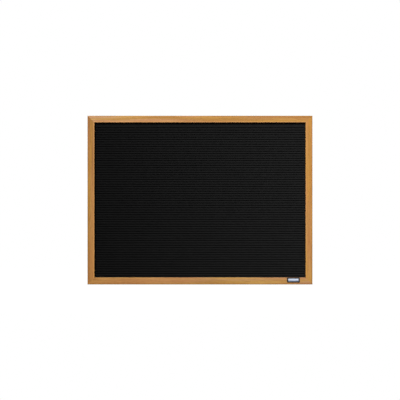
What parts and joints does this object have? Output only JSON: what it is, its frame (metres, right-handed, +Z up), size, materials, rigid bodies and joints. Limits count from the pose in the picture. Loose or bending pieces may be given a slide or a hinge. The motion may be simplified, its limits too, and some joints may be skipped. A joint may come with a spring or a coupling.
{
  "type": "letter board",
  "caption": "Wall-hung letter board: mitred oak frame round a black felt panel with level slots for push-in letters, turn buttons and ring hangers behind.",
  "frame": {"origin": "midway between the two points where the wall hooks carry the hanger rings", "axes": "+X to the viewer's right across the board, +Y into the wall, +Z up"},
  "size_m": [0.6096, 0.0244, 0.4572],
  "materials": {
    "oak": "satin clear lacquer over straight-grained oak",
    "felt": "matt black felt, pressed into the slots",
    "fibreboard": "raw fibreboard",
    "hardboard": "brown hardboard with its screen-marked side out",
    "bright_steel": "bright spring steel",
    "zinc_steel": "zinc-plated pressed steel and wire",
    "screw_steel": "zinc-plated wood screw",
    "rubber": "matt black rubber",
    "label_black": "black moulded plate",
    "label_foil": "plain pale satin foil"
  },
  "bodies": {
    "board": {"rail_top": "oak", "rail_bottom": "oak", "stile_left": "oak", "stile_right": "oak", "v_nail_top_left_outer": "bright_steel", "v_nail_top_left_inner": "bright_steel", "v_nail_top_right_outer": "bright_steel", "v_nail_top_right_inner": "bright_steel", "v_nail_bottom_left_outer": "bright_steel", "v_nail_bottom_left_inner": "bright_steel", "v_nail_bottom_right_outer": "bright_steel", "v_nail_bottom_right_inner": "bright_steel", "felt_face": "felt", "grooved_board": "fibreboard", "backing_board": "hardboard", "button_screw_top_left": "screw_steel", "button_screw_top_right": "screw_steel", "button_screw_bottom_left": "screw_steel", "button_screw_bottom_right": "screw_steel", "button_screw_left_upper": "screw_steel", "button_screw_left_lower": "screw_steel", "button_screw_right_upper": "screw_steel", "button_screw_right_lower": "screw_steel", "hanger_strap_left": "zinc_steel", "hanger_strap_right": "zinc_steel", "hanger_screw_left": "screw_steel", "hanger_screw_right": "screw_steel", "wall_bumper_left": "rubber", "wall_bumper_right": "rubber", "label_plate": "label_black", "label_insert": "label_foil"},
    "button_top_left": {"turn_button_top_left": "zinc_steel"},
    "button_top_right": {"turn_button_top_right": "zinc_steel"},
    "button_bottom_left": {"turn_button_bottom_left": "zinc_steel"},
    "button_bottom_right": {"turn_button_bottom_right": "zinc_steel"},
    "button_left_upper": {"turn_button_left_upper": "zinc_steel"},
    "button_left_lower": {"turn_button_left_lower": "zinc_steel"},
    "button_right_upper": {"turn_button_right_upper": "zinc_steel"},
    "button_right_lower": {"turn_button_right_lower": "zinc_steel"},
    "ring_left": {"hanger_ring_left": "zinc_steel"},
    "ring_right": {"hanger_ring_right": "zinc_steel"}
  },
  "joints": [
    {"name": "top_left_turn", "type": "hinge", "parent": "board", "child": "button_top_left", "pos_m": [-0.17, -0.0005, 0.08377], "axis": [0, 1, 0], "continuous": true},
    {"name": "top_right_turn", "type": "hinge", "parent": "board", "child": "button_top_right", "pos_m": [0.17, -0.0005, 0.08377], "axis": [0, 1, 0], "continuous": true},
    {"name": "bottom_left_turn", "type": "hinge", "parent": "board", "child": "button_bottom_left", "pos_m": [-0.17, -0.0005, -0.36073], "axis": [0, 1, 0], "continuous": true},
    {"name": "bottom_right_turn", "type": "hinge", "parent": "board", "child": "button_bottom_right", "pos_m": [0.17, -0.0005, -0.36073], "axis": [0, 1, 0], "continuous": true},
    {"name": "left_upper_turn", "type": "hinge", "parent": "board", "child": "button_left_upper", "pos_m": [-0.29845, -0.0005, -0.07048], "axis": [0, 1, 0], "continuous": true},
    {"name": "left_lower_turn", "type": "hinge", "parent": "board", "child": "button_left_lower", "pos_m": [-0.29845, -0.0005, -0.20648], "axis": [0, 1, 0], "continuous": true},
    {"name": "right_upper_turn", "type": "hinge", "parent": "board", "child": "button_right_upper", "pos_m": [0.29845, -0.0005, -0.07048], "axis": [0, 1, 0], "continuous": true},
    {"name": "right_lower_turn", "type": "hinge", "parent": "board", "child": "button_right_lower", "pos_m": [0.29845, -0.0005, -0.20648], "axis": [0, 1, 0], "continuous": true},
    {"name": "ring_left_swing", "type": "hinge", "parent": "board", "child": "ring_left", "pos_m": [-0.2978, 0.0007, -0.00988], "axis": [-1, 0, 0], "range_deg": [0, 178.9]},
    {"name": "ring_right_swing", "type": "hinge", "parent": "board", "child": "ring_right", "pos_m": [0.2978, 0.0007, -0.00988], "axis": [-1, 0, 0], "range_deg": [0, 178.9]}
  ]
}
